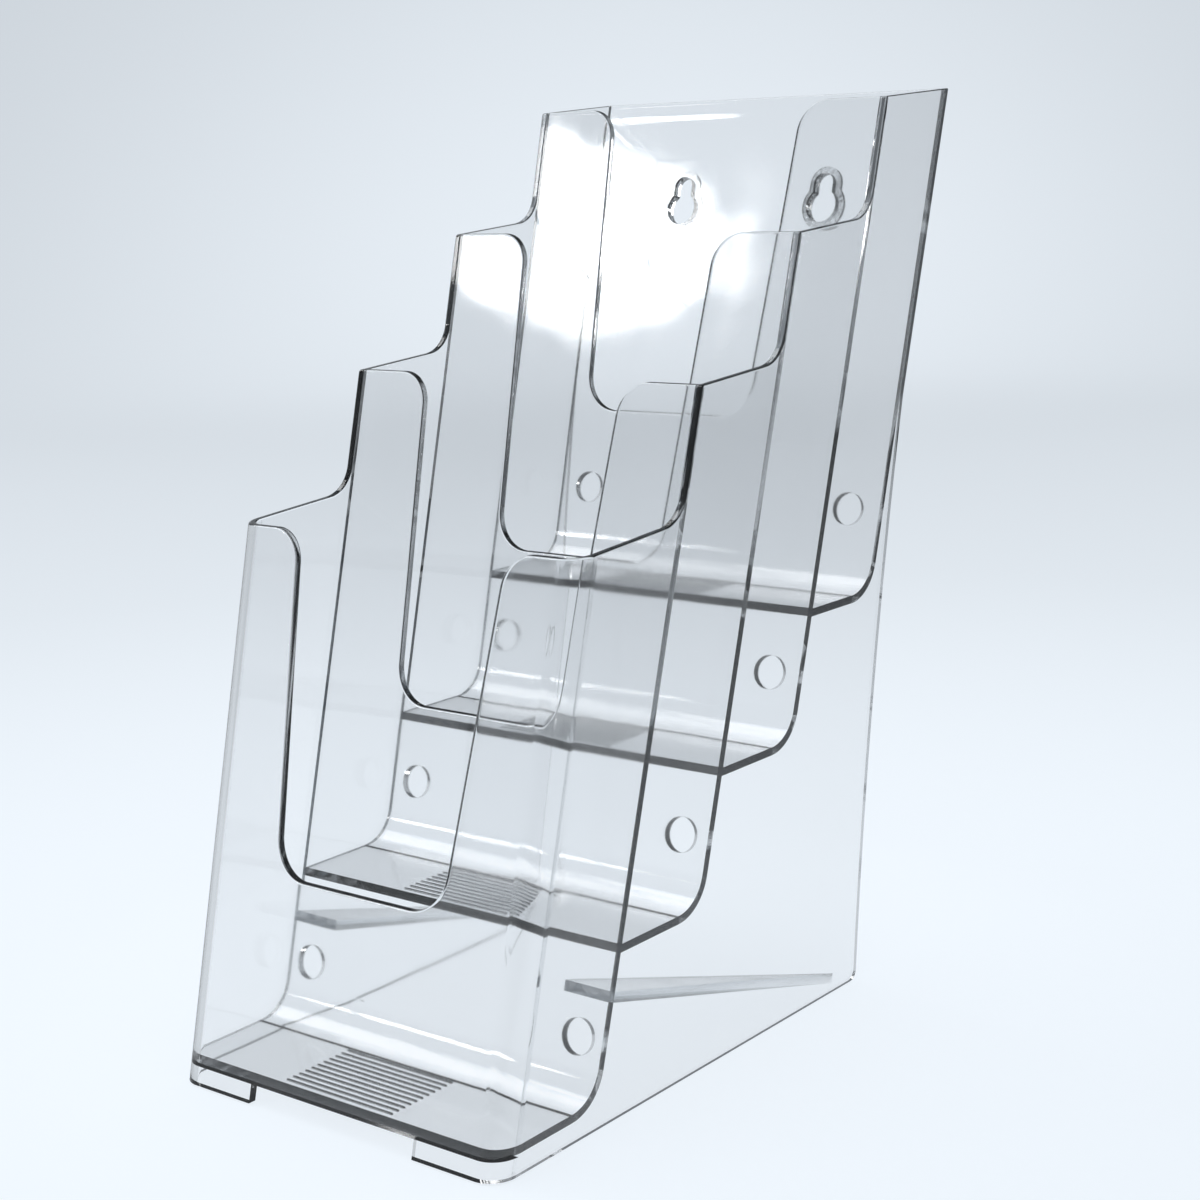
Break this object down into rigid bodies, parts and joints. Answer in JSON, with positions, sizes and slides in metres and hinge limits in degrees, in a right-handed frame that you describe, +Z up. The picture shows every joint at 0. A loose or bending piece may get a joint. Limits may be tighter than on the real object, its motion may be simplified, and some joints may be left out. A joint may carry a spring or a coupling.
{
  "type": "magazine rack",
  "caption": "Clear plastic leaflet rack with stepped, back-leaning pockets between side panels, for a counter or a wall.",
  "frame": {"origin": "on the table under the middle of the rack's width and depth", "axes": "+X to the right as seen from the front, +Y from the front pocket to the back, +Z up"},
  "size_m": [0.1218, 0.2066, 0.2526],
  "materials": {
    "clear_polystyrene": "clear, polished"
  },
  "bodies": {
    "root": {"left_side_panel": "clear_polystyrene", "right_side_panel": "clear_polystyrene", "front_wall": "clear_polystyrene", "left_front_foot": "clear_polystyrene", "right_front_foot": "clear_polystyrene", "back_wall_1": "clear_polystyrene", "back_wall_2": "clear_polystyrene", "back_wall_3": "clear_polystyrene", "back_wall_4": "clear_polystyrene", "pocket_floor_1": "clear_polystyrene", "pocket_floor_2": "clear_polystyrene", "pocket_floor_3": "clear_polystyrene", "pocket_floor_4": "clear_polystyrene", "grip_ribs_1": "clear_polystyrene", "grip_ribs_2": "clear_polystyrene", "grip_ribs_3": "clear_polystyrene", "grip_ribs_4": "clear_polystyrene", "left_gusset_rib": "clear_polystyrene", "right_gusset_rib": "clear_polystyrene", "left_keyhole_rim": "clear_polystyrene", "right_keyhole_rim": "clear_polystyrene"}
  },
  "joints": []
}
